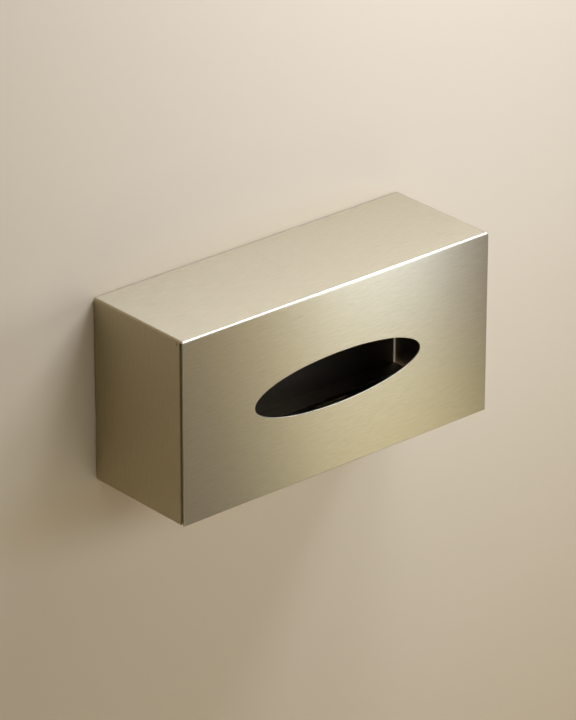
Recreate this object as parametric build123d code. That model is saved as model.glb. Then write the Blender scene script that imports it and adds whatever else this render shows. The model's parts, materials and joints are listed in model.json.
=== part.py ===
"""Wall-mounted dispenser for folded paper towels, in millimetres.

X runs along the wall, Y into the wall and Z up. The origin is on the wall, behind the middle of
the box, so the closed box reaches from the wall towards -Y. A brushed sheet-metal cover hangs on
a wall plate. The floor is a door on a full-length hinge near the wall, which drops for filling
and is held shut by a quarter-turn latch near its front edge. Paper is pulled through an
elliptical opening in the front.
"""

import os
from math import sqrt

from build123d import *

os.makedirs("parts", exist_ok=True)

# Outside of the closed box
WIDTH = 260.0
HEIGHT = 129.0
DEPTH = 89.0

# How near an edge's middle lies to a face that it belongs to
TOUCH = 0.01

# Sheet metal: thickness of the cover, plate and door, and the inside radius of every bend
SHEET = 1.2
BEND_INNER = 0.4
BEND_OUTER = BEND_INNER + SHEET

# Dispensing opening in the front
SLOT_LENGTH = 141.0
SLOT_HEIGHT = 36.0

# Gaps: cover to wall, door to cover, wall plate to cover, and the least gap between moving bodies
WALL_GAP = 0.5
DOOR_SIDE_GAP = 1.4
DOOR_FRONT_GAP = 0.8
PLATE_SIDE_GAP = 1.8
MOVING_GAP = 0.3

# Open corner seam: the gap behind the front skirt, the tab that closes it off, and what is left of
# the tab beside the door
SEAM_GAP = 1.2
TAB_REACH = 18.0
TAB_BOTTOM = -54.0
TAB_STUB = 0.5

# Hinge of the door
HINGE_Y = -18.0
LEAF = 0.8
KNUCKLE_RADIUS = 2.0
KNUCKLE_BORE = 1.2
PIN_RADIUS = 1.15
HINGE_LENGTH = 250.0
KNUCKLES = 9
KNUCKLE_GAP = 0.4
BARREL_GAP = 0.4
FIXED_LEAF_WIDTH = 14.0
DOOR_LEAF_WIDTH = 16.0

# Door panel: its upper face above the lower edge of the cover, and its turned-down rim
FLOOR_HEIGHT = 4.5
DOOR_RIM = 4.3
RIM_CUTBACK = 4.4

# Wall plate: the shelf and lip of its hook, and the four wall screws
SHELF_Z = 50.6
LIP_Y = -5.4
LIP_TOP = 60.0
WALL_SCREW_SPACING_X = 200.0
WALL_SCREW_SPACING_Z = 60.0
WALL_SCREW_HOLE = 2.75

# Ears of the wall plate, where the cover is screwed on from inside
EAR_INSIDE = 122.8
EAR_REACH = 13.0
EAR_SPAN = (-16.0, 36.0)
EAR_RELIEF = 1.5
EAR_SCREW_Y = -7.0
EAR_SCREW_Z = 10.0

# Landing brackets on the cover's sides, behind the ears
LANDING_FRONT_Y = -32.0
LANDING_STEP_Y = -18.6
LANDING_BACK_Y = -2.0
LANDING_SPAN = (-14.0, 34.0)

# Cover screws and the clinch nuts that take them, one on each side
SCREW_RADIUS = 2.0
SCREW_CLEARANCE = 2.25
SCREW_LENGTH = 5.1
SCREW_HEAD = 3.9
SCREW_HEAD_HEIGHT = 2.4
SCREW_KEY = 2.5
SCREW_KEY_DEPTH = 1.4
CLINCH_NUT_RADIUS = 4.0
CLINCH_NUT_HEIGHT = 2.2

# Hanger rail inside the top of the cover
HANGER_HALF_LENGTH = 110.0
HANGER_FRONT_Y = -22.0
HANGER_LEG_Y = -3.0

# Strike angle inside the front of the cover, and the rubber bumpers in it
STRIKE_HALF_LENGTH = 106.0
STRIKE_Z = -56.2
STRIKE_TOP = -45.4
STRIKE_EDGE_Y = -80.5
BUMPER_X = 96.0
BUMPER_Y = -83.6
BUMPER_RADIUS = 3.0
BUMPER_STEM = 1.5
BUMPER_TAIL = 1.0

# Rails on the door that carry the paper above the latch
RAIL_X = 62.0
RAIL_HALF_WIDTH = 7.6
RAIL_FOOT = 14.0
RAIL_HEIGHT = 10.0
RAIL_RUN = (-78.0, -40.0)

# Quarter-turn latch in the door
LATCH_Y = -66.0
LATCH_HEAD_RADIUS = 10.0
LATCH_HEAD_HEIGHT = 1.4
BARREL_RADIUS = 8.0
BARREL_FLATS = 14.0
BARREL_TOP = -55.6
HOLE_GAP = 0.1
LATCH_BORE = 5.06
SPINDLE_RADIUS = 5.0
COLLAR_RADIUS = 6.6
COLLAR_HEIGHT = 1.0
SPINDLE_SQUARE = 6.8
KEY_SIDE = 7.0
KEY_DEPTH = 2.2
NUT_ACROSS_FLATS = 22.0
NUT_HEIGHT = 2.8
WASHER_RADIUS = 11.5
WASHER_HEIGHT = 0.8
CAM_REACH = 18.0
CAM_WIDTH = 9.0
CAM_THICKNESS = 2.0
CAM_HUB = 8.0
CAM_SCREW_HEAD = 4.2
CAM_SCREW_HEAD_HEIGHT = 2.0
CAM_SCREW_DEPTH = 5.0

# Faces and levels that follow from the sizes above
SIDE_X = WIDTH / 2
TOP_Z = HEIGHT / 2
BOTTOM_Z = -HEIGHT / 2
FRONT_Y = -DEPTH
SIDE_INNER_X = SIDE_X - SHEET
FRONT_INNER_Y = FRONT_Y + SHEET
TOP_INNER_Z = TOP_Z - SHEET
BEND_Z = TOP_Z - BEND_OUTER
FLOOR_Z = BOTTOM_Z + FLOOR_HEIGHT
FLOOR_UNDER_Z = FLOOR_Z - SHEET
LEAF_Z = (FLOOR_UNDER_Z - LEAF, FLOOR_UNDER_Z)
HINGE_Z = LEAF_Z[0] + KNUCKLE_RADIUS
BARREL_ROOM = KNUCKLE_RADIUS + BARREL_GAP
HINGE_SPAN = (-HINGE_LENGTH / 2, HINGE_LENGTH / 2)
DOOR_X = SIDE_INNER_X - DOOR_SIDE_GAP
DOOR_Y = (FRONT_INNER_Y + DOOR_FRONT_GAP, HINGE_Y - BARREL_ROOM)
PLATE_X = SIDE_INNER_X - PLATE_SIDE_GAP
EAR_OUTSIDE = EAR_INSIDE + SHEET
STRIKE_UNDER_Z = STRIKE_Z - SHEET / 2
WASHER_Z = (FLOOR_Z, FLOOR_Z + WASHER_HEIGHT)
NUT_Z = (WASHER_Z[1], WASHER_Z[1] + NUT_HEIGHT)
LATCH_HEAD_Z = (FLOOR_UNDER_Z - LATCH_HEAD_HEIGHT, FLOOR_UNDER_Z)
CAM_Z = (BARREL_TOP + MOVING_GAP, BARREL_TOP + MOVING_GAP + CAM_THICKNESS)


def block(x, y, z):
    """Box between pairs of coordinates."""
    size = [high - low for low, high in (x, y, z)]
    middle = [(high + low) / 2 for low, high in (x, y, z)]
    return Pos(*middle) * Box(*size)


def rod_x(radius, x, y, z):
    """Round rod along X."""
    return Pos((x[0] + x[1]) / 2, y, z) * Rot(0, 90, 0) * Cylinder(radius, x[1] - x[0])


def rod_y(radius, x, y, z):
    """Round rod along Y."""
    return Pos(x, (y[0] + y[1]) / 2, z) * Rot(90, 0, 0) * Cylinder(radius, y[1] - y[0])


def rod_z(radius, x, y, z):
    """Round rod along Z."""
    return Pos(x, y, (z[0] + z[1]) / 2) * Cylinder(radius, z[1] - z[0])


def prism_z(sides, radius, x, y, z):
    """Regular prism along Z, with its corners on the given radius."""
    outline = RegularPolygon(radius, sides)
    return Pos(x, y, z[0]) * extrude(outline, z[1] - z[0])


def mirrored(shape):
    """The same shape on the other side of the box."""
    return mirror(shape, about=Plane.YZ)


def bent_section(points, thickness=SHEET):
    """Section of bent sheet: its middle line runs through the points, and every bend is round."""
    line = [Vector(*point) for point in points]
    directions = [(after - before).normalized() for before, after in zip(line, line[1:])]
    normals = [Vector(-direction.Y, direction.X) for direction in directions]
    outline = []
    radii = []
    for side in (1, -1):
        row = [line[0] + normals[0] * (side * thickness / 2)]
        row_radii = [0.0]
        for before, after, corner in zip(normals, normals[1:], line[1:-1]):
            mitre = (before + after) * (1 / (1 + before.dot(after)))
            row.append(corner + mitre * (side * thickness / 2))
            turns_left = before.cross(after).Z > 0
            inside = turns_left == (side > 0)
            row_radii.append(BEND_INNER if inside else BEND_INNER + thickness)
        row.append(line[-1] + normals[-1] * (side * thickness / 2))
        row_radii.append(0.0)
        outline += row[::side]
        radii += row_radii[::side]
    return make_face(FilletPolyline(*outline, radius=radii, close=True).edges())


def run_x(section, x):
    """Carry a section drawn in Y and Z along X."""
    return Pos(x[0], 0, 0) * extrude(Plane.YZ * section, x[1] - x[0])


def run_y(section, y):
    """Carry a section drawn in X and Z along Y."""
    return Pos(0, y[1], 0) * extrude(Plane.XZ * section, y[1] - y[0])


def run_z(section, z):
    """Carry a section drawn in X and Y along Z."""
    return Pos(0, 0, z[0]) * extrude(section, z[1] - z[0])


def hood_block(x, y, z, radius, round_corners):
    """Block with its top edges rounded, apart from the one at the back."""
    solid = block(x, y, z)
    top = [e for e in solid.edges() if e.center().Z > z[1] - TOUCH and e.center().Y < y[1] - TOUCH]
    upright = [e for e in solid.edges().filter_by(Axis.Z) if e.center().Y < y[0] + TOUCH]
    return fillet(top + upright if round_corners else top, radius)


def hood(x, y, z, round_corners):
    """Folded sheet with a top, a front and two sides, open below and at the back."""
    outer = hood_block(x, y, z, BEND_OUTER, round_corners)
    inner_x = (x[0] + SHEET, x[1] - SHEET)
    inner_y = (y[0] + SHEET, y[1] + SHEET)
    inner_z = (z[0] - SHEET, z[1] - SHEET)
    return outer - hood_block(inner_x, inner_y, inner_z, BEND_INNER, round_corners)


def side_skirt():
    """Left side of the cover, turned in behind the front skirt as a narrow tab."""
    middle_x = -SIDE_X + SHEET / 2
    middle_y = FRONT_INNER_Y + SEAM_GAP + SHEET / 2
    section = bent_section([
        (middle_x, -WALL_GAP),
        (middle_x, middle_y),
        (middle_x + TAB_REACH, middle_y),
    ])
    skirt = run_z(section, (BOTTOM_Z, BEND_Z))
    door_room = block(
        (-SIDE_X + BEND_OUTER + TAB_STUB, 0),
        (FRONT_Y, middle_y + SHEET),
        (BOTTOM_Z, TAB_BOTTOM),
    )
    return skirt - door_room


def dispensing_slot():
    """Elliptical cutter through the front skirt."""
    opening = Ellipse(SLOT_LENGTH / 2, SLOT_HEIGHT / 2)
    return run_y(opening, (FRONT_Y - SHEET, FRONT_INNER_Y + SHEET))


def cover():
    """One folded blank: the top with its bends, the front skirt and the two side skirts."""
    folded = hood((-SIDE_X, SIDE_X), (FRONT_Y, -WALL_GAP), (BOTTOM_Z, TOP_Z), False)
    top = folded & block((-SIDE_X, SIDE_X), (FRONT_Y, 0), (BEND_Z, TOP_Z))
    front = block((-SIDE_X, SIDE_X), (FRONT_Y, FRONT_INNER_Y), (BOTTOM_Z, BEND_Z))
    side = side_skirt()
    return top + front + side + mirrored(side) - dispensing_slot()


def hanger_rail():
    """Angle under the cover's top, whose leg drops behind the lip of the wall plate."""
    leg_top = TOP_INNER_Z - SHEET / 2
    shelf_top = SHELF_Z + SHEET / 2
    section = bent_section([
        (HANGER_FRONT_Y, leg_top),
        (HANGER_LEG_Y, leg_top),
        (HANGER_LEG_Y, shelf_top),
    ])
    return run_x(section, (-HANGER_HALF_LENGTH, HANGER_HALF_LENGTH))


def ear_screw_hole():
    """Clearance hole for the left cover screw."""
    return rod_x(SCREW_CLEARANCE, (-SIDE_INNER_X, -EAR_INSIDE + SHEET), EAR_SCREW_Y, EAR_SCREW_Z)


def landing_bracket():
    """Joggled strip on the cover's left side, which lies against the ear of the wall plate."""
    skirt_x = -SIDE_INNER_X + SHEET / 2
    ear_x = -EAR_OUTSIDE - SHEET / 2
    section = bent_section([
        (skirt_x, LANDING_FRONT_Y),
        (skirt_x, LANDING_STEP_Y),
        (ear_x, LANDING_STEP_Y),
        (ear_x, LANDING_BACK_Y),
    ])
    return run_z(section, LANDING_SPAN) - ear_screw_hole()


def clinch_nuts():
    """Nuts pressed into the two landing brackets."""
    face_x = -EAR_OUTSIDE - SHEET
    body_x = (face_x - CLINCH_NUT_HEIGHT, face_x)
    nut = rod_x(CLINCH_NUT_RADIUS, body_x, EAR_SCREW_Y, EAR_SCREW_Z)
    nut -= rod_x(SCREW_RADIUS, body_x, EAR_SCREW_Y, EAR_SCREW_Z)
    return Compound([nut, mirrored(nut)])


def cover_screws():
    """Button-head screws from inside the box, through ear and bracket into the nuts."""
    head_x = (-EAR_INSIDE, -EAR_INSIDE + SCREW_HEAD_HEIGHT)
    shank_x = (-EAR_INSIDE - SCREW_LENGTH, -EAR_INSIDE)
    head = rod_x(SCREW_HEAD, head_x, EAR_SCREW_Y, EAR_SCREW_Z)
    crown = [e for e in head.edges() if e.center().X > head_x[1] - TOUCH]
    head = chamfer(crown, SCREW_HEAD_HEIGHT / 3)
    shank = rod_x(SCREW_RADIUS, shank_x, EAR_SCREW_Y, EAR_SCREW_Z)
    key = extrude(Plane.YZ * RegularPolygon(SCREW_KEY / sqrt(3), 6), SCREW_KEY_DEPTH)
    socket = Pos(head_x[1] - SCREW_KEY_DEPTH, EAR_SCREW_Y, EAR_SCREW_Z) * key
    screw = head + shank - socket
    return Compound([screw, mirrored(screw)])


def ear():
    """Left ear of the wall plate, bent forward."""
    ear_x = -EAR_INSIDE - SHEET / 2
    section = bent_section([
        (-HANGER_HALF_LENGTH, -SHEET / 2),
        (ear_x, -SHEET / 2),
        (ear_x, -EAR_REACH),
    ])
    return run_z(section, EAR_SPAN) - ear_screw_hole()


def wall_plate():
    """Plate behind the paper: hinge flange at the bottom, ears at the sides, hook at the top."""
    section = bent_section([
        (HINGE_Y + BARREL_ROOM, FLOOR_Z - SHEET / 2),
        (-SHEET / 2, FLOOR_Z - SHEET / 2),
        (-SHEET / 2, SHELF_Z),
        (LIP_Y, SHELF_Z),
        (LIP_Y, LIP_TOP),
    ])
    plate = run_x(section, (-PLATE_X, PLATE_X))
    hook_bottom = SHELF_Z - BEND_OUTER
    beside_hook = block((-PLATE_X, -HANGER_HALF_LENGTH), (-DEPTH, 0), (hook_bottom, TOP_Z))
    ear_room = block(
        (-PLATE_X, -EAR_OUTSIDE + BEND_OUTER),
        (-DEPTH, 0),
        (EAR_SPAN[0] - EAR_RELIEF, TOP_Z),
    )
    for cut in (beside_hook, ear_room):
        plate = plate - cut - mirrored(cut)
    left_ear = ear()
    plate = plate + left_ear + mirrored(left_ear)
    for x in (-WALL_SCREW_SPACING_X / 2, WALL_SCREW_SPACING_X / 2):
        for z in (-WALL_SCREW_SPACING_Z / 2, WALL_SCREW_SPACING_Z / 2):
            plate -= rod_y(WALL_SCREW_HOLE, x, (-2 * SHEET, SHEET), z)
    return plate


def strike_angle():
    """Angle inside the front skirt; the latch cam turns in above its lower leg."""
    middle_y = FRONT_INNER_Y + SHEET / 2
    section = bent_section([
        (middle_y, STRIKE_TOP),
        (middle_y, STRIKE_Z),
        (STRIKE_EDGE_Y, STRIKE_Z),
    ])
    angle = run_x(section, (-STRIKE_HALF_LENGTH, STRIKE_HALF_LENGTH))
    for x in (-BUMPER_X, BUMPER_X):
        angle -= rod_z(BUMPER_STEM, x, BUMPER_Y, (STRIKE_Z - SHEET, STRIKE_Z + SHEET))
    return angle


def bumper(x):
    """Rubber button pulled through the strike angle by its stem; the door closes against it."""
    stem_top = STRIKE_Z + SHEET / 2 + BUMPER_TAIL
    pad = rod_z(BUMPER_RADIUS, x, BUMPER_Y, (FLOOR_Z + MOVING_GAP, STRIKE_UNDER_Z))
    return pad + rod_z(BUMPER_STEM, x, BUMPER_Y, (STRIKE_UNDER_Z, stem_top))


def door_bumpers():
    """One bumper near each end of the strike angle."""
    return Compound([bumper(x) for x in (-BUMPER_X, BUMPER_X)])


def knuckle_spans(first):
    """X ranges of every second knuckle, counted from the first."""
    pitch = HINGE_LENGTH / KNUCKLES
    starts = [HINGE_SPAN[0] + pitch * number for number in range(first, KNUCKLES, 2)]
    return [(x + KNUCKLE_GAP / 2, x + pitch - KNUCKLE_GAP / 2) for x in starts]


def hinge_leaf(towards, width, first, bore):
    """Leaf with its knuckles rolled round the pin; it runs to the wall (1) or to the front (-1)."""
    edge = sorted((HINGE_Y + towards * BARREL_ROOM, HINGE_Y + towards * width))
    root = sorted((HINGE_Y, HINGE_Y + towards * BARREL_ROOM))
    leaf = block(HINGE_SPAN, edge, LEAF_Z)
    for span in knuckle_spans(first):
        leaf += block(span, root, LEAF_Z) + rod_x(KNUCKLE_RADIUS, span, HINGE_Y, HINGE_Z)
    return leaf - rod_x(bore, HINGE_SPAN, HINGE_Y, HINGE_Z)


def hinge_pin():
    """Plain pin, gripped by the knuckles of the fixed leaf."""
    return rod_x(PIN_RADIUS, HINGE_SPAN, HINGE_Y, HINGE_Z)


def door():
    """Floor of the box: a shallow folded tray with its rim down and a hole for the latch."""
    tray = hood((-DOOR_X, DOOR_X), DOOR_Y, (FLOOR_Z - DOOR_RIM, FLOOR_Z), True)
    rim_end = block(
        (-DOOR_X, DOOR_X),
        (HINGE_Y - RIM_CUTBACK, HINGE_Y),
        (BOTTOM_Z, FLOOR_UNDER_Z - BEND_INNER),
    )
    return tray - rim_end - latch_barrel(HOLE_GAP, (FLOOR_UNDER_Z - SHEET, FLOOR_Z + SHEET))


def pack_rail(x):
    """Hat-shaped rail welded to the door, which carries the paper and stiffens the floor."""
    foot_z = FLOOR_Z + SHEET / 2
    crown_z = FLOOR_Z + RAIL_HEIGHT - SHEET / 2
    section = bent_section([
        (x - RAIL_FOOT, foot_z),
        (x - RAIL_HALF_WIDTH, foot_z),
        (x - RAIL_HALF_WIDTH, crown_z),
        (x + RAIL_HALF_WIDTH, crown_z),
        (x + RAIL_HALF_WIDTH, foot_z),
        (x + RAIL_FOOT, foot_z),
    ])
    return run_y(section, RAIL_RUN)


def latch_barrel(gap, z):
    """Round barrel with two flats that stop it turning in its hole."""
    half_flats = BARREL_FLATS / 2 + gap
    flats = block(
        (-LATCH_HEAD_RADIUS, LATCH_HEAD_RADIUS),
        (LATCH_Y - half_flats, LATCH_Y + half_flats),
        z,
    )
    return rod_z(BARREL_RADIUS + gap, 0, LATCH_Y, z) & flats


def latch_body():
    """Flat head under the door and the barrel through it, bored for the spindle."""
    head = rod_z(LATCH_HEAD_RADIUS, 0, LATCH_Y, LATCH_HEAD_Z)
    rim = [e for e in head.edges() if e.center().Z < LATCH_HEAD_Z[0] + TOUCH]
    head = chamfer(rim, LATCH_HEAD_HEIGHT / 3)
    body = head + latch_barrel(0.0, (FLOOR_UNDER_Z, BARREL_TOP))
    recess_top = LATCH_HEAD_Z[0] + COLLAR_HEIGHT + MOVING_GAP
    body -= rod_z(LATCH_BORE, 0, LATCH_Y, (LATCH_HEAD_Z[0], BARREL_TOP))
    return body - rod_z(COLLAR_RADIUS + MOVING_GAP, 0, LATCH_Y, (LATCH_HEAD_Z[0], recess_top))


def latch_spindle():
    """Spindle with a collar and a three-cornered key recess below and a square for the cam above."""
    collar_z = (LATCH_HEAD_Z[0], LATCH_HEAD_Z[0] + COLLAR_HEIGHT)
    spindle = rod_z(COLLAR_RADIUS, 0, LATCH_Y, collar_z)
    spindle += rod_z(SPINDLE_RADIUS, 0, LATCH_Y, (collar_z[1], CAM_Z[0]))
    spindle += spindle_square()
    key_radius = KEY_SIDE / sqrt(3)
    spindle -= prism_z(3, key_radius, 0, LATCH_Y, (collar_z[0], collar_z[0] + KEY_DEPTH))
    return spindle - rod_z(SCREW_RADIUS, 0, LATCH_Y, (CAM_Z[1] - CAM_SCREW_DEPTH, CAM_Z[1]))


def spindle_square():
    """Square end of the spindle inside the cam."""
    half = SPINDLE_SQUARE / 2
    return block((-half, half), (LATCH_Y - half, LATCH_Y + half), CAM_Z)


def latch_cam():
    """Cam plate, at rest along the door; a quarter turn brings it over the strike angle."""
    half = CAM_WIDTH / 2
    arm = block((-CAM_REACH + half, 0), (LATCH_Y - half, LATCH_Y + half), CAM_Z)
    tip = rod_z(half, -CAM_REACH + half, LATCH_Y, CAM_Z)
    hub = rod_z(CAM_HUB, 0, LATCH_Y, CAM_Z)
    return hub + arm + tip - spindle_square()


def cam_screw():
    """Screw that holds the cam on the spindle."""
    head_z = (CAM_Z[1], CAM_Z[1] + CAM_SCREW_HEAD_HEIGHT)
    head = rod_z(CAM_SCREW_HEAD, 0, LATCH_Y, head_z)
    crown = [e for e in head.edges() if e.center().Z > head_z[1] - TOUCH]
    head = chamfer(crown, CAM_SCREW_HEAD_HEIGHT / 3)
    shank = rod_z(SCREW_RADIUS, 0, LATCH_Y, (CAM_Z[1] - CAM_SCREW_DEPTH, CAM_Z[1]))
    socket = prism_z(6, SCREW_KEY / sqrt(3), 0, LATCH_Y, (head_z[1] - SCREW_KEY_DEPTH, head_z[1]))
    return head + shank - socket


def latch_nut():
    """Thin hexagon nut that clamps the latch to the door."""
    nut = prism_z(6, NUT_ACROSS_FLATS / sqrt(3), 0, LATCH_Y, NUT_Z)
    return nut - rod_z(BARREL_RADIUS, 0, LATCH_Y, NUT_Z)


def latch_washer():
    """Washer between the nut and the door."""
    washer = rod_z(WASHER_RADIUS, 0, LATCH_Y, WASHER_Z)
    return washer - rod_z(BARREL_RADIUS + HOLE_GAP, 0, LATCH_Y, WASHER_Z)


def all_parts():
    """Every piece of the dispenser, by name."""
    left_bracket = landing_bracket()
    return {
        "cover": cover(),
        "hanger_rail": hanger_rail(),
        "left_landing_bracket": left_bracket,
        "right_landing_bracket": mirrored(left_bracket),
        "clinch_nuts": clinch_nuts(),
        "cover_screws": cover_screws(),
        "strike_angle": strike_angle(),
        "door_bumpers": door_bumpers(),
        "wall_plate": wall_plate(),
        "hinge_fixed_leaf": hinge_leaf(1, FIXED_LEAF_WIDTH, 0, PIN_RADIUS),
        "hinge_door_leaf": hinge_leaf(-1, DOOR_LEAF_WIDTH, 1, KNUCKLE_BORE),
        "hinge_pin": hinge_pin(),
        "door": door(),
        "left_pack_rail": pack_rail(-RAIL_X),
        "right_pack_rail": pack_rail(RAIL_X),
        "latch_body": latch_body(),
        "latch_nut": latch_nut(),
        "latch_washer": latch_washer(),
        "latch_spindle": latch_spindle(),
        "latch_cam": latch_cam(),
        "cam_screw": cam_screw(),
    }


for name, shape in all_parts().items():
    export_step(shape, f"parts/{name}.step")
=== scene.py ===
"""Looks of a wall-mounted paper towel dispenser: folded brushed cover, finishes, wall and light."""

import json
from math import cos, pi, radians, sin

import bmesh
import bpy
import numpy as np
from bpy.props import FloatProperty, FloatVectorProperty, PointerProperty
from mathutils import Matrix, Vector


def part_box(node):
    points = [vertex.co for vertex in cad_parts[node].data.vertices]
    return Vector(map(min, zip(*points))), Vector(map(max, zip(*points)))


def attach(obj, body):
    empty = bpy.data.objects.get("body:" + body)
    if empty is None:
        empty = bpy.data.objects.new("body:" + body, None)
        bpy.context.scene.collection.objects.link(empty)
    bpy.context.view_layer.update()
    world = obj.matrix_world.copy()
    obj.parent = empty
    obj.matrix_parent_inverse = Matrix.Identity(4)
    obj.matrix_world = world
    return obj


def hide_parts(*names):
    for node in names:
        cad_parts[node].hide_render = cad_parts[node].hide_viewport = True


bl_info = {
    "name": "Towel dispenser looks",
    "version": (1, 0, 0),
    "blender": (4, 5, 0),
    "location": "View3D > Sidebar > Dispenser",
    "description": "Builds and finishes a folded-metal paper towel dispenser round its packed model",
    "category": "Add Mesh",
}

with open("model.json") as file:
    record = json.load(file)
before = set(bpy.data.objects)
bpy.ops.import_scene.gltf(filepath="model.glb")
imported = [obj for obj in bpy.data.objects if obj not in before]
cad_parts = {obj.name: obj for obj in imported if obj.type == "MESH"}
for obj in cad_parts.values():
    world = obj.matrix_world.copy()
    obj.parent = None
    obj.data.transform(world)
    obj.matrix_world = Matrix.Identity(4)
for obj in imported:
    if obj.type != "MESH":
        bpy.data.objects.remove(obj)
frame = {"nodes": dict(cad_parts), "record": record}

MM = 0.001
COVER_LOW, COVER_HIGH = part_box("cover")
PLATE_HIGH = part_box("wall_plate")[1]

# Fineness of the cover's mesh: steps along each stretch of the sheet
ACROSS = 128
ALONG = 40
DOWN = 64
BELOW_TAB = 2
BEND_STEPS = 6
TAB_STEPS = 6
RINGS = 12
RING_GROWTH = 1.4
CORNER_STEP = 0.4 * MM
WELD = 0.002 * MM

# The cover's map, its second and third material, and what counts as a cut edge
BLANK_MAP = "blank"
INSIDE_MATERIAL = 1
EDGE_MATERIAL = 2
CUT_EDGE_ANGLE = radians(50)
CUT_EDGE_STEPS = 2

# Noise cells per metre along each axis; on brushed and rolled sheet the first axis follows the grain
FINE_BRUSHING = (160.0, 3600.0, 3600.0)
COARSE_BRUSHING = (70.0, 1100.0, 1100.0)
HANDLING_CLOUDS = (8.0, 30.0, 30.0)
ROLLING_LINES = (25.0, 500.0, 500.0)
ROLLING_CLOUDS = (40.0, 40.0, 40.0)
TARNISH_CLOUDS = (120.0, 120.0, 120.0)
TURNING_GRIT = (1500.0, 1500.0, 1500.0)
RUBBER_BLOOM = (300.0, 300.0, 300.0)
RUBBER_GRAIN = (2500.0, 2500.0, 2500.0)

# Wall and floor round the object, whose back is at y = 0
WALL_REACH = 3.0
FLOOR_LEVEL = -1.15
WALL_GAP = 0.2 * MM
SHORT_RAY = 1.0 * MM

# Where the lights are aimed: the wall's middle, and a little right of the front's middle
WALL_MIDDLE = (0.0, 0.0, 0.0)
FRONT_AIM = (0.04, COVER_LOW.y, 0.0)

# The camera, as solved from the corners of the box in the photograph
CAMERA_PLACE = (-1.83417, -2.16231, 1.33486)
CAMERA_AZIMUTH = radians(-40.8204)
CAMERA_ELEVATION = radians(25.5377)
CAMERA_ROLL = radians(0.1037)
CAMERA_NEAR = 0.05
CAMERA_FAR = 50.0


def length(name, description, default):
    """Property that holds a length in metres."""
    return FloatProperty(name=name, description=description, default=default, unit="LENGTH")


def colour(name, description, default, brightest=1.0):
    """Property that holds a colour; that of a light may pass 1."""
    return FloatVectorProperty(
        name=name, description=description, default=default,
        size=3, subtype="COLOR", min=0.0, max=brightest)


class CoverSizes(bpy.types.PropertyGroup):
    """Sizes of the folded cover."""

    sheet: length("Sheet thickness", "Thickness of the folded sheet", 1.2 * MM)
    bend: length("Bend radius", "Radius of the middle of the sheet in every bend", 1.0 * MM)
    slot_length: length("Slot length", "Long axis of the elliptical opening", 141.0 * MM)
    slot_height: length("Slot height", "Short axis of the elliptical opening", 36.0 * MM)
    seam_gap: length("Seam gap", "Open gap between the front skirt and the tabs behind it", 1.2 * MM)
    tab_reach: length("Tab reach", "Width of the tabs behind the front skirt", 18.0 * MM)
    tab_bottom: length("Tab bottom", "Level where the tabs stop above the door", -54.0 * MM)
    tab_stub: length("Tab stub", "What is left of the tab in front of the door", 0.5 * MM)
    edge_round: length("Edge rounding", "How far the cut edges of the sheet are broken", 0.4 * MM)


class FinishColours(bpy.types.PropertyGroup):
    """Colours of the finishes."""

    cover: colour("Cover", "Brushed champagne-coloured sheet of the cover", (0.495, 0.435, 0.295))
    door: colour("Door", "Brushed sheet of the floor door", (0.60, 0.54, 0.43))
    inner: colour("Inner sheet", "Plain mill-finish sheet inside the box", (0.40, 0.36, 0.30))
    hinge: colour("Hinge", "Drawn strip of the hinge", (0.56, 0.53, 0.47))
    fastener: colour("Fasteners", "Bright turned screws, nuts and pin", (0.66, 0.65, 0.62))
    latch: colour("Latch", "Satin nickel plating of the latch", (0.62, 0.60, 0.56))
    rubber: colour("Rubber", "Matt black rubber of the bumpers", (0.03, 0.03, 0.03))


class StageSettings(bpy.types.PropertyGroup):
    """Wall, light and camera."""

    wall: colour("Wall", "Matt paint of the wall and the floor", (0.885, 0.745, 0.52))
    beyond: colour("Background", "What the camera sees past the wall", (0.80, 0.76, 0.69))
    sky: colour("Ambient", "Colour of the light that comes from all round", (1.0, 0.93, 0.82))
    ambient: FloatProperty(
        name="Ambient strength", description="Strength of the light from all round",
        default=0.01, min=0.0)
    overhead: colour("Overhead light", "Colour of the two lights above", (0.9, 1.0, 1.34), 2.0)
    narrow: colour("Narrow light", "Middle of the front's highlight", (0.78, 1.0, 1.47), 2.0)
    wide: colour("Wide light", "Ends of the front's highlight", (1.0, 0.5, 0.1), 2.0)
    low: colour("Low light", "Light from low on the right", (1.0, 0.95, 0.55), 2.0)
    lens: FloatProperty(
        name="Lens", description="Focal length of the camera in millimetres",
        default=238.6, min=1.0, unit="CAMERA")


def linked_object(name, data):
    """Object that shows the mesh, light or camera data, in the scene."""
    made = bpy.data.objects.new(name, data)
    bpy.context.scene.collection.objects.link(made)
    return made


def spread(low, high, steps):
    """Evenly spaced values from low to high, both included."""
    return np.linspace(low, high, steps + 1)


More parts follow.
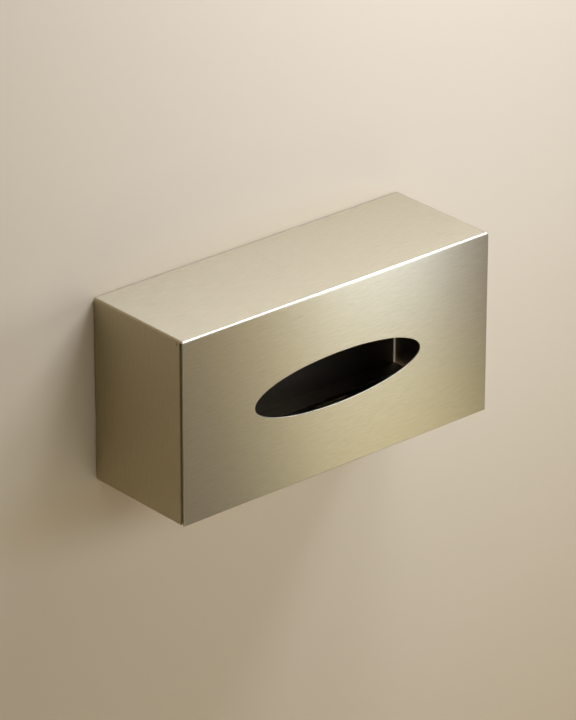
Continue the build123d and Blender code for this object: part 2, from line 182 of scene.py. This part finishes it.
class Patchwork:
    """Grids of points with flat-blank coordinates, gathered into one mesh."""

    def __init__(self):
        self.points = []
        self.blank = []
        self.faces = []
        self.count = 0

    def add(self, x, y, z, u, v, closed=False):
        """Add a grid of equally shaped arrays; closed joins its last column to its first."""
        x, y, z, u, v = np.broadcast_arrays(x, y, z, u, v)
        rows, columns = x.shape
        number = np.arange(rows * columns).reshape(rows, columns) + self.count
        if closed:
            number = np.hstack([number, number[:, :1]])
        corners = (number[:-1, :-1], number[:-1, 1:], number[1:, 1:], number[1:, :-1])
        self.faces.append(np.stack(corners, axis=-1).reshape(-1, 4))
        self.points.append(np.stack([x, y, z], axis=-1).reshape(-1, 3))
        self.blank.append(np.stack([u, v], axis=-1).reshape(-1, 2))
        self.count += rows * columns

    def mesh(self, name, weld):
        """Mesh of all the grids, with points nearer than weld merged."""
        points = np.concatenate(self.points)
        faces = np.concatenate(self.faces)
        blank = np.concatenate(self.blank)
        mesh = bpy.data.meshes.new(name)
        mesh.from_pydata(points, [], faces)
        layer = mesh.uv_layers.new(name=BLANK_MAP)
        layer.uv.foreach_set("vector", blank[faces.ravel()].astype(np.float32).ravel())
        work = bmesh.new()
        work.from_mesh(mesh)
        bmesh.ops.remove_doubles(work, verts=work.verts, dist=weld)
        bmesh.ops.recalc_face_normals(work, faces=work.faces)
        work.to_mesh(mesh)
        work.free()
        return mesh


class FoldedBlank:
    """Middle surface of the cover, folded from one flat blank.

    The top lies between the bend lines line_x and line_y. Each bend sweeps a quarter circle about
    its line: at the angle a the sheet has gone out by bend * sin(a) and stands at bend * cos(a)
    above the line, and it uses the length bend * a of the blank. The map holds where each point
    lies on the flat blank, in metres, and on the top it is x and y.
    """

    def __init__(self, sizes):
        self.sizes = sizes
        self.bend = sizes.bend
        self.arc = sizes.bend * pi / 2
        half_sheet = sizes.sheet / 2
        self.middle_x = COVER_HIGH.x - half_sheet
        self.middle_y = COVER_LOW.y + half_sheet
        self.top_z = COVER_HIGH.z - half_sheet
        self.line_x = self.middle_x - self.bend
        self.line_y = self.middle_y + self.bend
        self.line_z = self.top_z - self.bend
        self.tuck_y = self.middle_y + sizes.sheet + sizes.seam_gap
        self.across = spread(-self.line_x, self.line_x, ACROSS)
        side_y = spread(COVER_HIGH.y, self.tuck_y + self.bend, ALONG)
        self.along = np.append(side_y, self.line_y)
        self.angles = spread(0.0, pi / 2, BEND_STEPS)
        self.out = self.bend * np.sin(self.angles)
        self.above = self.bend * np.cos(self.angles)
        self.used = self.bend * self.angles
        self.patch = Patchwork()

    def top(self):
        """Flat grid between the bend lines."""
        x = self.across[None, :]
        y = self.along[:, None]
        self.patch.add(x, y, self.top_z, x, y)

    def front_bend(self):
        """Bend between top and front; its end columns go outwards too, as the mitred corners.

        Gives back the x of its lowest row, where the front skirt begins.
        """
        mitre = np.zeros(ACROSS + 1)
        mitre[[0, -1]] = (-1.0, 1.0)
        out = self.out[:, None]
        x = self.across[None, :] + mitre[None, :] * out
        z = self.line_z + self.above[:, None]
        self.patch.add(x, self.line_y - out, z, x, self.line_y - self.used[:, None])
        return x[-1]

    def side_bend(self, side):
        """Bend between top and one side; its front column goes forwards too, as the mitred corner."""
        mitre = np.zeros(len(self.along))
        mitre[-1] = -1.0
        y = self.along[:, None] + mitre[:, None] * self.out[None, :]
        x = side * (self.line_x + self.out[None, :])
        u = side * (self.line_x + self.used[None, :])
        self.patch.add(x, y, self.line_z + self.above[None, :], u, y)

    def side_skirt(self, side):
        """One side with its tab, upright over a plan.

        The plan runs straight forwards, through a quarter circle of the bend radius and on as the
        tab, a seam gap behind the front skirt, so that the corner seam is open. Below tab_bottom
        only a stub is left of the tab.
        """
        quarter = self.angles[1:]
        stub_x = self.line_x - self.sizes.tab_stub
        plan_x = np.concatenate([
            np.full(ALONG + 1, self.middle_x), self.line_x + self.bend * np.cos(quarter), [stub_x]])
        plan_y = np.concatenate([
            self.along[:-1], self.tuck_y + self.bend - self.bend * np.sin(quarter), [self.tuck_y]])
        travel = np.append(0.0, np.cumsum(np.hypot(np.diff(plan_x), np.diff(plan_y))))
        v = COVER_HIGH.y - travel
        beside_tab = spread(self.line_z, self.sizes.tab_bottom, DOWN)
        below_tab = spread(self.sizes.tab_bottom, COVER_LOW.z, BELOW_TAB)
        z = np.append(beside_tab, below_tab[1:])[:, None]
        u = side * (self.line_x + self.arc + self.line_z - z)
        self.patch.add(side * plan_x[None, :], plan_y[None, :], z, u, v[None, :])
        tab_x = spread(stub_x, self.middle_x - self.sizes.tab_reach, TAB_STEPS)[None, :]
        tab_v = v[-1] + (tab_x - stub_x)
        self.patch.add(side * tab_x, self.tuck_y, z[:-BELOW_TAB], u[:-BELOW_TAB], tab_v)

    def front_skirt(self, bend_x):
        """Front with its opening: a straight blend from the ellipse, t = 0, to the outline, t = 1.

        The outline follows the bend's lowest row and the flush ends and bottom of the front. A
        point of it and its partner on the ellipse have the same angle, seen from the middle, once
        the outline is scaled to a square and the ellipse to a circle.
        """
        down = spread(self.line_z - CORNER_STEP, COVER_LOW.z, DOWN)
        bottom_x = bend_x * (COVER_HIGH.x / self.middle_x)
        outline_x = np.concatenate([
            bend_x, np.full(DOWN, COVER_HIGH.x), bottom_x[::-1], np.full(DOWN, -COVER_HIGH.x)])
        outline_z = np.concatenate([
            np.full(ACROSS + 1, self.line_z), down[:-1],
            np.full(ACROSS + 1, COVER_LOW.z), down[-2::-1]])
        angle = np.arctan2(outline_z / COVER_HIGH.z, outline_x / self.middle_x)
        slot_x = self.sizes.slot_length / 2 * np.cos(angle)
        slot_z = self.sizes.slot_height / 2 * np.sin(angle)
        t = (spread(0.0, 1.0, RINGS) ** RING_GROWTH)[:, None]
        x = slot_x + (outline_x - slot_x) * t
        z = slot_z + (outline_z - slot_z) * t
        v = self.line_y - self.arc - self.line_z + z
        self.patch.add(x, self.middle_y, z, x, v, closed=True)

    def mesh(self, name):
        """Mesh of the whole blank, folded."""
        self.top()
        bend_x = self.front_bend()
        for side in (-1, 1):
            self.side_bend(side)
            self.side_skirt(side)
        self.front_skirt(bend_x)
        return self.patch.mesh(name, WELD)


def thicken(piece, thickness, edge):
    """Give the sheet its thickness, break its cut edges and keep the result as a plain mesh.

    The inner side of the sheet takes the second material and the cut edges take the third. The
    points are held inside the CAD cover's box, which rounding could pass by a hair.
    """
    wall = piece.modifiers.new("thickness", "SOLIDIFY")
    wall.thickness = thickness
    wall.offset = 0.0
    wall.use_even_offset = True
    wall.material_offset = INSIDE_MATERIAL
    wall.material_offset_rim = EDGE_MATERIAL
    rounding = piece.modifiers.new("broken edges", "BEVEL")
    rounding.width = edge
    rounding.segments = CUT_EDGE_STEPS
    rounding.limit_method = "ANGLE"
    rounding.angle_limit = CUT_EDGE_ANGLE
    rounding.harden_normals = True
    rounding.material = EDGE_MATERIAL
    rounding.use_clamp_overlap = False
    depsgraph = bpy.context.evaluated_depsgraph_get()
    mesh = bpy.data.meshes.new_from_object(piece.evaluated_get(depsgraph))
    points = np.empty(3 * len(mesh.vertices), np.float32)
    mesh.vertices.foreach_get("co", points)
    points = np.clip(points.reshape(-1, 3), COVER_LOW, COVER_HIGH)
    mesh.vertices.foreach_set("co", points.ravel())
    piece.modifiers.clear()
    piece.data = mesh


class Finish:
    """Node material with short calls for what every finish here needs."""

    def __init__(self, name):
        self.material = bpy.data.materials.new(name)
        self.material.use_nodes = True
        self.tree = self.material.node_tree
        self.shader = self.tree.nodes["Principled BSDF"]

    def node(self, kind, **values):
        """New node; values that name a socket set it, and the others are the node's own."""
        made = self.tree.nodes.new(kind)
        for key, value in values.items():
            if key in made.inputs:
                made.inputs[key].default_value = value
            else:
                setattr(made, key, value)
        return made

    def link(self, source, target):
        """Connect an output to an input."""
        self.tree.links.new(source, target)

    def place(self):
        """Where the surface lies in its own object, in metres."""
        return self.node("ShaderNodeTexCoord").outputs["Object"]

    def math(self, operation, *values):
        """Result of a sum or test on outputs and plain numbers."""
        made = self.node("ShaderNodeMath", operation=operation)
        for value, entry in zip(values, made.inputs):
            if isinstance(value, bpy.types.NodeSocket):
                self.link(value, entry)
            else:
                entry.default_value = value
        return made.outputs["Value"]

    def noise(self, place, scale, detail=2.0):
        """Noise at the place, with its vector scaled along each axis."""
        mapping = self.node("ShaderNodeMapping", vector_type="POINT", Scale=scale)
        self.link(place, mapping.inputs["Vector"])
        noise = self.node("ShaderNodeTexNoise", Scale=1.0, Detail=detail, Roughness=0.55)
        self.link(mapping.outputs["Vector"], noise.inputs["Vector"])
        return noise.outputs["Fac"]

    def stretch(self, source, low, high, span=(0.3, 0.7)):
        """The source's span, stretched to low and high."""
        ranged = self.node("ShaderNodeMapRange")
        ranged.inputs["From Min"].default_value = span[0]
        ranged.inputs["From Max"].default_value = span[1]
        ranged.inputs["To Min"].default_value = low
        ranged.inputs["To Max"].default_value = high
        self.link(source, ranged.inputs["Value"])
        return ranged.outputs["Result"]

    def tint(self, base, source, low, high, span=(0.3, 0.7)):
        """Base colour, made darker and brighter by the source, from low to high."""
        scaled = self.node("ShaderNodeVectorMath", operation="SCALE")
        scaled.inputs[0].default_value = base
        self.link(self.stretch(source, low, high, span), scaled.inputs["Scale"])
        self.link(scaled.outputs["Vector"], self.shader.inputs["Base Color"])

    def roughen(self, source, low, high):
        """Roughness that follows the source, from low to high."""
        self.link(self.stretch(source, low, high), self.shader.inputs["Roughness"])

    def bump(self, height, depth):
        """Relief of the surface, as deep as given in metres."""
        bump = self.node("ShaderNodeBump", Strength=1.0, Distance=depth)
        self.link(height, bump.inputs["Height"])
        self.link(bump.outputs["Normal"], self.shader.inputs["Normal"])

    def fix(self, socket, value):
        """Same value all over the surface, on the shader's own socket."""
        self.shader.inputs[socket].default_value = value


def brushed_sheet(name, base, grain_map=None):
    """Fine-brushed sheet: long thin lines along the grain in colour, gloss and relief.

    With a grain map the grain runs along the map's first direction, and the reflections are drawn
    out across it. Without one, the grain runs along the width of the box.
    """
    finish = Finish(name)
    if grain_map:
        place = finish.node("ShaderNodeUVMap", uv_map=grain_map).outputs["UV"]
    else:
        place = finish.place()
    fine = finish.noise(place, FINE_BRUSHING)
    coarse = finish.noise(place, COARSE_BRUSHING)
    streaks = finish.math("ADD", fine, coarse)
    streak_span = (0.7, 1.3)
    clouds = finish.noise(place, HANDLING_CLOUDS)
    finish.tint(base, streaks, low=0.92, high=1.08, span=streak_span)
    in_streaks = finish.stretch(streaks, low=-0.012, high=0.012, span=streak_span)
    in_clouds = finish.stretch(clouds, low=0.343, high=0.347)
    roughness = finish.math("ADD", in_streaks, in_clouds)
    finish.link(roughness, finish.shader.inputs["Roughness"])
    finish.bump(streaks, depth=0.0004 * MM)
    finish.fix("Metallic", 1.0)
    if grain_map:
        finish.fix("Anisotropic", 0.85)
        finish.fix("Anisotropic Rotation", 0.25)
        tangent = finish.node("ShaderNodeTangent", direction_type="UV_MAP", uv_map=grain_map)
        finish.link(tangent.outputs["Tangent"], finish.shader.inputs["Tangent"])
    return finish.material


def mill_sheet(name, base):
    """Plain rolled sheet: soft clouds and faint rolling lines."""
    finish = Finish(name)
    place = finish.place()
    clouds = finish.noise(place, ROLLING_CLOUDS, detail=3.0)
    lines = finish.noise(place, ROLLING_LINES)
    finish.tint(base, clouds, low=0.95, high=1.04)
    finish.roughen(lines, low=0.52, high=0.6)
    finish.bump(lines, depth=0.002 * MM)
    finish.fix("Metallic", 1.0)
    return finish.material


def turned_metal(name, base, roughness):
    """Turned or plated metal: fine even relief and a little tarnish."""
    finish = Finish(name)
    place = finish.place()
    grit = finish.noise(place, TURNING_GRIT)
    tarnish = finish.noise(place, TARNISH_CLOUDS, detail=3.0)
    finish.tint(base, tarnish, low=0.92, high=1.04)
    finish.roughen(tarnish, low=roughness - 0.04, high=roughness + 0.05)
    finish.bump(grit, depth=0.001 * MM)
    finish.fix("Metallic", 1.0)
    return finish.material


def moulded_rubber(name, base):
    """Matt black rubber with a fine grain and a dusty bloom."""
    finish = Finish(name)
    place = finish.place()
    grain = finish.noise(place, RUBBER_GRAIN)
    bloom = finish.noise(place, RUBBER_BLOOM, detail=3.0)
    finish.tint(base, bloom, low=0.8, high=1.3)
    finish.roughen(bloom, low=0.62, high=0.78)
    finish.bump(grain, depth=0.01 * MM)
    return finish.material


def dress(slot, material):
    """Give the material to every frame node of the slot."""
    for subpart in frame["record"]["subparts"]:
        if subpart["material_slot"] != slot:
            continue
        piece = frame["nodes"][subpart["node"]]
        piece.data.materials.clear()
        piece.data.materials.append(material)


class DISPENSER_OT_cover(bpy.types.Operator):
    """Fold the cover and brush it along its blank"""

    bl_idname = "dispenser.cover"
    bl_label = "Cover"

    def execute(self, context):
        sizes = context.scene.dispenser_cover
        colours = context.scene.dispenser_finish
        mesh = FoldedBlank(sizes).mesh("folded_cover")
        mesh.materials.append(brushed_sheet("brushed_cover", colours.cover, BLANK_MAP))
        mesh.materials.append(mill_sheet("cover_inside", colours.inner))
        mesh.materials.append(turned_metal("cut_edge", colours.cover, roughness=0.42))
        piece = linked_object("folded_cover", mesh)
        thicken(piece, sizes.sheet, sizes.edge_round)
        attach(piece, "housing")
        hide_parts("cover")
        return {"FINISHED"}


class DISPENSER_OT_door(bpy.types.Operator):
    """Brush the floor door along its width"""

    bl_idname = "dispenser.door"
    bl_label = "Door"

    def execute(self, context):
        colours = context.scene.dispenser_finish
        dress("brushed_door", brushed_sheet("brushed_door", colours.door))
        return {"FINISHED"}


class DISPENSER_OT_inner_sheet(bpy.types.Operator):
    """Finish the wall plate, rails, brackets, strike angle, cam and hinge"""

    bl_idname = "dispenser.inner_sheet"
    bl_label = "Inner sheet and hinge"

    def execute(self, context):
        colours = context.scene.dispenser_finish
        dress("inner_sheet", mill_sheet("inner_sheet", colours.inner))
        dress("hinge_metal", turned_metal("hinge_metal", colours.hinge, roughness=0.34))
        return {"FINISHED"}


class DISPENSER_OT_fasteners(bpy.types.Operator):
    """Finish the screws, nuts, pin, washer, latch and bumpers"""

    bl_idname = "dispenser.fasteners"
    bl_label = "Fasteners, latch and bumpers"

    def execute(self, context):
        colours = context.scene.dispenser_finish
        dress("bright_fastener", turned_metal("bright_fastener", colours.fastener, roughness=0.25))
        dress("latch_metal", turned_metal("latch_metal", colours.latch, roughness=0.3))
        dress("black_rubber", moulded_rubber("black_rubber", colours.rubber))
        return {"FINISHED"}


def flat_sheet(name, corners):
    """One flat face between four corners."""
    mesh = bpy.data.meshes.new(name)
    mesh.from_pydata(corners, [], [(0, 1, 2, 3)])
    return linked_object(name, mesh)


def painted(name, base, hidden=None):
    """Matt paint that is seen only from its front, so that the back of the object can be looked at.

    Hidden is half the width and half the height of the patch of wall that the object covers. Short
    rays pass there, so that light from behind reaches the back of the object too.
    """
    finish = Finish(name)
    finish.fix("Base Color", (*base, 1.0))
    finish.fix("Roughness", 0.9)
    finish.fix("Specular IOR Level", 0.2)
    geometry = finish.node("ShaderNodeNewGeometry")
    clear_share = geometry.outputs["Backfacing"]
    if hidden:
        path = finish.node("ShaderNodeLightPath")
        apart = finish.node("ShaderNodeSeparateXYZ")
        finish.link(geometry.outputs["Position"], apart.inputs["Vector"])
        passed = finish.math("LESS_THAN", path.outputs["Ray Length"], SHORT_RAY)
        for axis, limit in zip("XZ", hidden):
            off_middle = finish.math("ABSOLUTE", apart.outputs[axis])
            within = finish.math("LESS_THAN", off_middle, limit)
            passed = finish.math("MULTIPLY", passed, within)
        clear_share = finish.math("MAXIMUM", clear_share, passed)
    clear = finish.node("ShaderNodeBsdfTransparent")
    mix = finish.node("ShaderNodeMixShader")
    finish.link(clear_share, mix.inputs["Fac"])
    finish.link(finish.shader.outputs["BSDF"], mix.inputs[1])
    finish.link(clear.outputs["BSDF"], mix.inputs[2])
    output = finish.tree.nodes["Material Output"]
    finish.link(mix.outputs["Shader"], output.inputs["Surface"])
    return finish.material


def wall_and_floor(paint):
    """Painted wall just behind the object and painted floor below it, both as stage."""
    reach = WALL_REACH
    wall = flat_sheet("backdrop_wall", [
        (-reach, WALL_GAP, FLOOR_LEVEL), (reach, WALL_GAP, FLOOR_LEVEL),
        (reach, WALL_GAP, reach), (-reach, WALL_GAP, reach)])
    wall.data.materials.append(painted("wall_paint", paint, hidden=(PLATE_HIGH.x, PLATE_HIGH.z)))
    floor = flat_sheet("pale_floor", [
        (-reach, -reach, FLOOR_LEVEL), (reach, -reach, FLOOR_LEVEL),
        (reach, reach, FLOOR_LEVEL), (-reach, reach, FLOOR_LEVEL)])
    floor.data.materials.append(painted("floor_paint", paint))


def softbox(name, place, target, size, power, tone=(1.0, 1.0, 1.0)):
    """Rectangular soft light of the size and power, in metres and watts, aimed at the target.

    The camera doesn't see it.
    """
    data = bpy.data.lights.new(name, "AREA")
    data.shape = "RECTANGLE"
    data.size, data.size_y = size
    data.energy = power
    data.color = tone
    lamp = linked_object(name, data)
    turn = (Vector(target) - Vector(place)).to_track_quat("-Z", "Y")
    lamp.matrix_world = Matrix.Translation(place) @ turn.to_matrix().to_4x4()
    lamp.visible_camera = False


def front_fills():
    """Wide soft lights in front of the wall: from above, from below and from the right."""
    softbox(
        "front_fill", place=(0.1, -1.8, 0.8), target=(0.1, 0.0, 0.0),
        size=(1.6, 0.6), power=6.8)
    softbox(
        "low_fill", place=(0.2, -1.7, -0.8), target=WALL_MIDDLE,
        size=(0.9, 0.9), power=3.4)
    softbox(
        "right_fill", place=(1.3, -0.9, 0.9), target=WALL_MIDDLE,
        size=(0.8, 0.8), power=0.8)


def overhead_lights(settings):
    """Light from above, which the top mirrors and which draws the shadow on the wall."""
    softbox(
        "upper_key", place=(0.742, -0.258, 0.958), target=FRONT_AIM,
        size=(0.24, 0.36), power=8.2, tone=settings.overhead)
    softbox(
        "top_light", place=(0.2, -0.2, 0.7), target=(0.05, 0.0, 0.1),
        size=(0.3, 0.2), power=2.8, tone=settings.overhead)


def highlight_lights(settings):
    """Small lights that the brushed front mirrors as one upright highlight with soft ends."""
    softbox(
        "front_strip", place=(0.274, -0.408, 0.056), target=FRONT_AIM,
        size=(0.1, 0.12), power=0.37, tone=settings.narrow)
    softbox(
        "wide_strip", place=(0.567, -0.819, 0.0), target=FRONT_AIM,
        size=(0.225, 0.27), power=0.28, tone=settings.wide)
    softbox(
        "low_strip", place=(0.41, -0.493, -0.339), target=(0.03, COVER_LOW.y, 0.0),
        size=(0.163, 0.195), power=0.165, tone=settings.low)


def left_and_back_fills():
    """Weak light from the left, and light from behind the wall for the back of the object."""
    softbox(
        "left_fill", place=(-0.8, -1.08, 0.36), target=WALL_MIDDLE,
        size=(0.45, 0.55), power=0.5)
    softbox(
        "back_fill", place=(0.3, 1.2, 0.4), target=WALL_MIDDLE,
        size=(1.2, 1.2), power=12.0)


def surroundings(settings):
    """Even light from all round, and a pale background where the camera sees past the wall."""
    world = bpy.data.worlds.new("studio")
    bpy.context.scene.world = world
    world.use_nodes = True
    tree = world.node_tree
    around = tree.nodes["Background"]
    around.inputs["Color"].default_value = (*settings.sky, 1.0)
    around.inputs["Strength"].default_value = settings.ambient
    seen = tree.nodes.new("ShaderNodeBackground")
    seen.inputs["Color"].default_value = (*settings.beyond, 1.0)
    path = tree.nodes.new("ShaderNodeLightPath")
    mix = tree.nodes.new("ShaderNodeMixShader")
    tree.links.new(path.outputs["Is Camera Ray"], mix.inputs["Fac"])
    tree.links.new(around.outputs["Background"], mix.inputs[1])
    tree.links.new(seen.outputs["Background"], mix.inputs[2])
    tree.links.new(mix.outputs["Shader"], tree.nodes["World Output"].inputs["Surface"])


def photo_camera(lens):
    """Camera at the photograph's viewing angle.

    Azimuth and elevation give the direction back from the object to the camera, right is level
    and up is square to both. The roll then turns right and up about that direction.
    """
    a, e, t = CAMERA_AZIMUTH, CAMERA_ELEVATION, CAMERA_ROLL
    back = Vector((sin(a) * cos(e), -cos(a) * cos(e), sin(e)))
    right = Vector((cos(a), sin(a), 0.0))
    up = back.cross(right)
    turned_right = right * cos(t) + up * sin(t)
    turned_up = up * cos(t) - right * sin(t)
    data = bpy.data.cameras.new("photo_camera")
    data.lens = lens
    data.clip_start = CAMERA_NEAR
    data.clip_end = CAMERA_FAR
    camera = linked_object("photo_camera", data)
    turn = Matrix((turned_right, turned_up, back)).transposed()
    camera.matrix_world = Matrix.Translation(CAMERA_PLACE) @ turn.to_4x4()
    bpy.context.scene.camera = camera


class DISPENSER_OT_stage(bpy.types.Operator):
    """Set up the wall, the floor, the soft light and the camera"""

    bl_idname = "dispenser.stage"
    bl_label = "Stage"

    def execute(self, context):
        settings = context.scene.dispenser_stage
        wall_and_floor(settings.wall)
        front_fills()
        overhead_lights(settings)
        highlight_lights(settings)
        left_and_back_fills()
        surroundings(settings)
        photo_camera(settings.lens)
        context.scene.view_settings.view_transform = "Standard"
        return {"FINISHED"}


class DISPENSER_PT_panel(bpy.types.Panel):
    """Buttons that build the dispenser's looks, and its sizes and colours"""

    bl_label = "Towel dispenser"
    bl_idname = "DISPENSER_PT_panel"
    bl_space_type = "VIEW_3D"
    bl_region_type = "UI"
    bl_category = "Dispenser"

    def draw(self, context):
        layout = self.layout
        for operator in OPERATORS:
            layout.operator(operator.bl_idname)
        for name, group in SETTINGS.items():
            settings = getattr(context.scene, name)
            for field in group.__annotations__:
                layout.prop(settings, field)


OPERATORS = (
    DISPENSER_OT_cover,
    DISPENSER_OT_door,
    DISPENSER_OT_inner_sheet,
    DISPENSER_OT_fasteners,
    DISPENSER_OT_stage,
)
SETTINGS = {
    "dispenser_cover": CoverSizes,
    "dispenser_finish": FinishColours,
    "dispenser_stage": StageSettings,
}


def register():
    """Make the settings, operators and panel known."""
    for name, group in SETTINGS.items():
        bpy.utils.register_class(group)
        setattr(bpy.types.Scene, name, PointerProperty(type=group))
    for made in (*OPERATORS, DISPENSER_PT_panel):
        bpy.utils.register_class(made)


def unregister():
    """Take the settings, operators and panel away again."""
    for made in (DISPENSER_PT_panel, *reversed(OPERATORS)):
        bpy.utils.unregister_class(made)
    for name, group in reversed(SETTINGS.items()):
        delattr(bpy.types.Scene, name)
        bpy.utils.unregister_class(group)


def main():
    """Build everything in order."""
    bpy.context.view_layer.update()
    register()
    bpy.ops.dispenser.cover()
    bpy.ops.dispenser.door()
    bpy.ops.dispenser.inner_sheet()
    bpy.ops.dispenser.fasteners()
    bpy.ops.dispenser.stage()


if __name__ == "__main__":
    main()
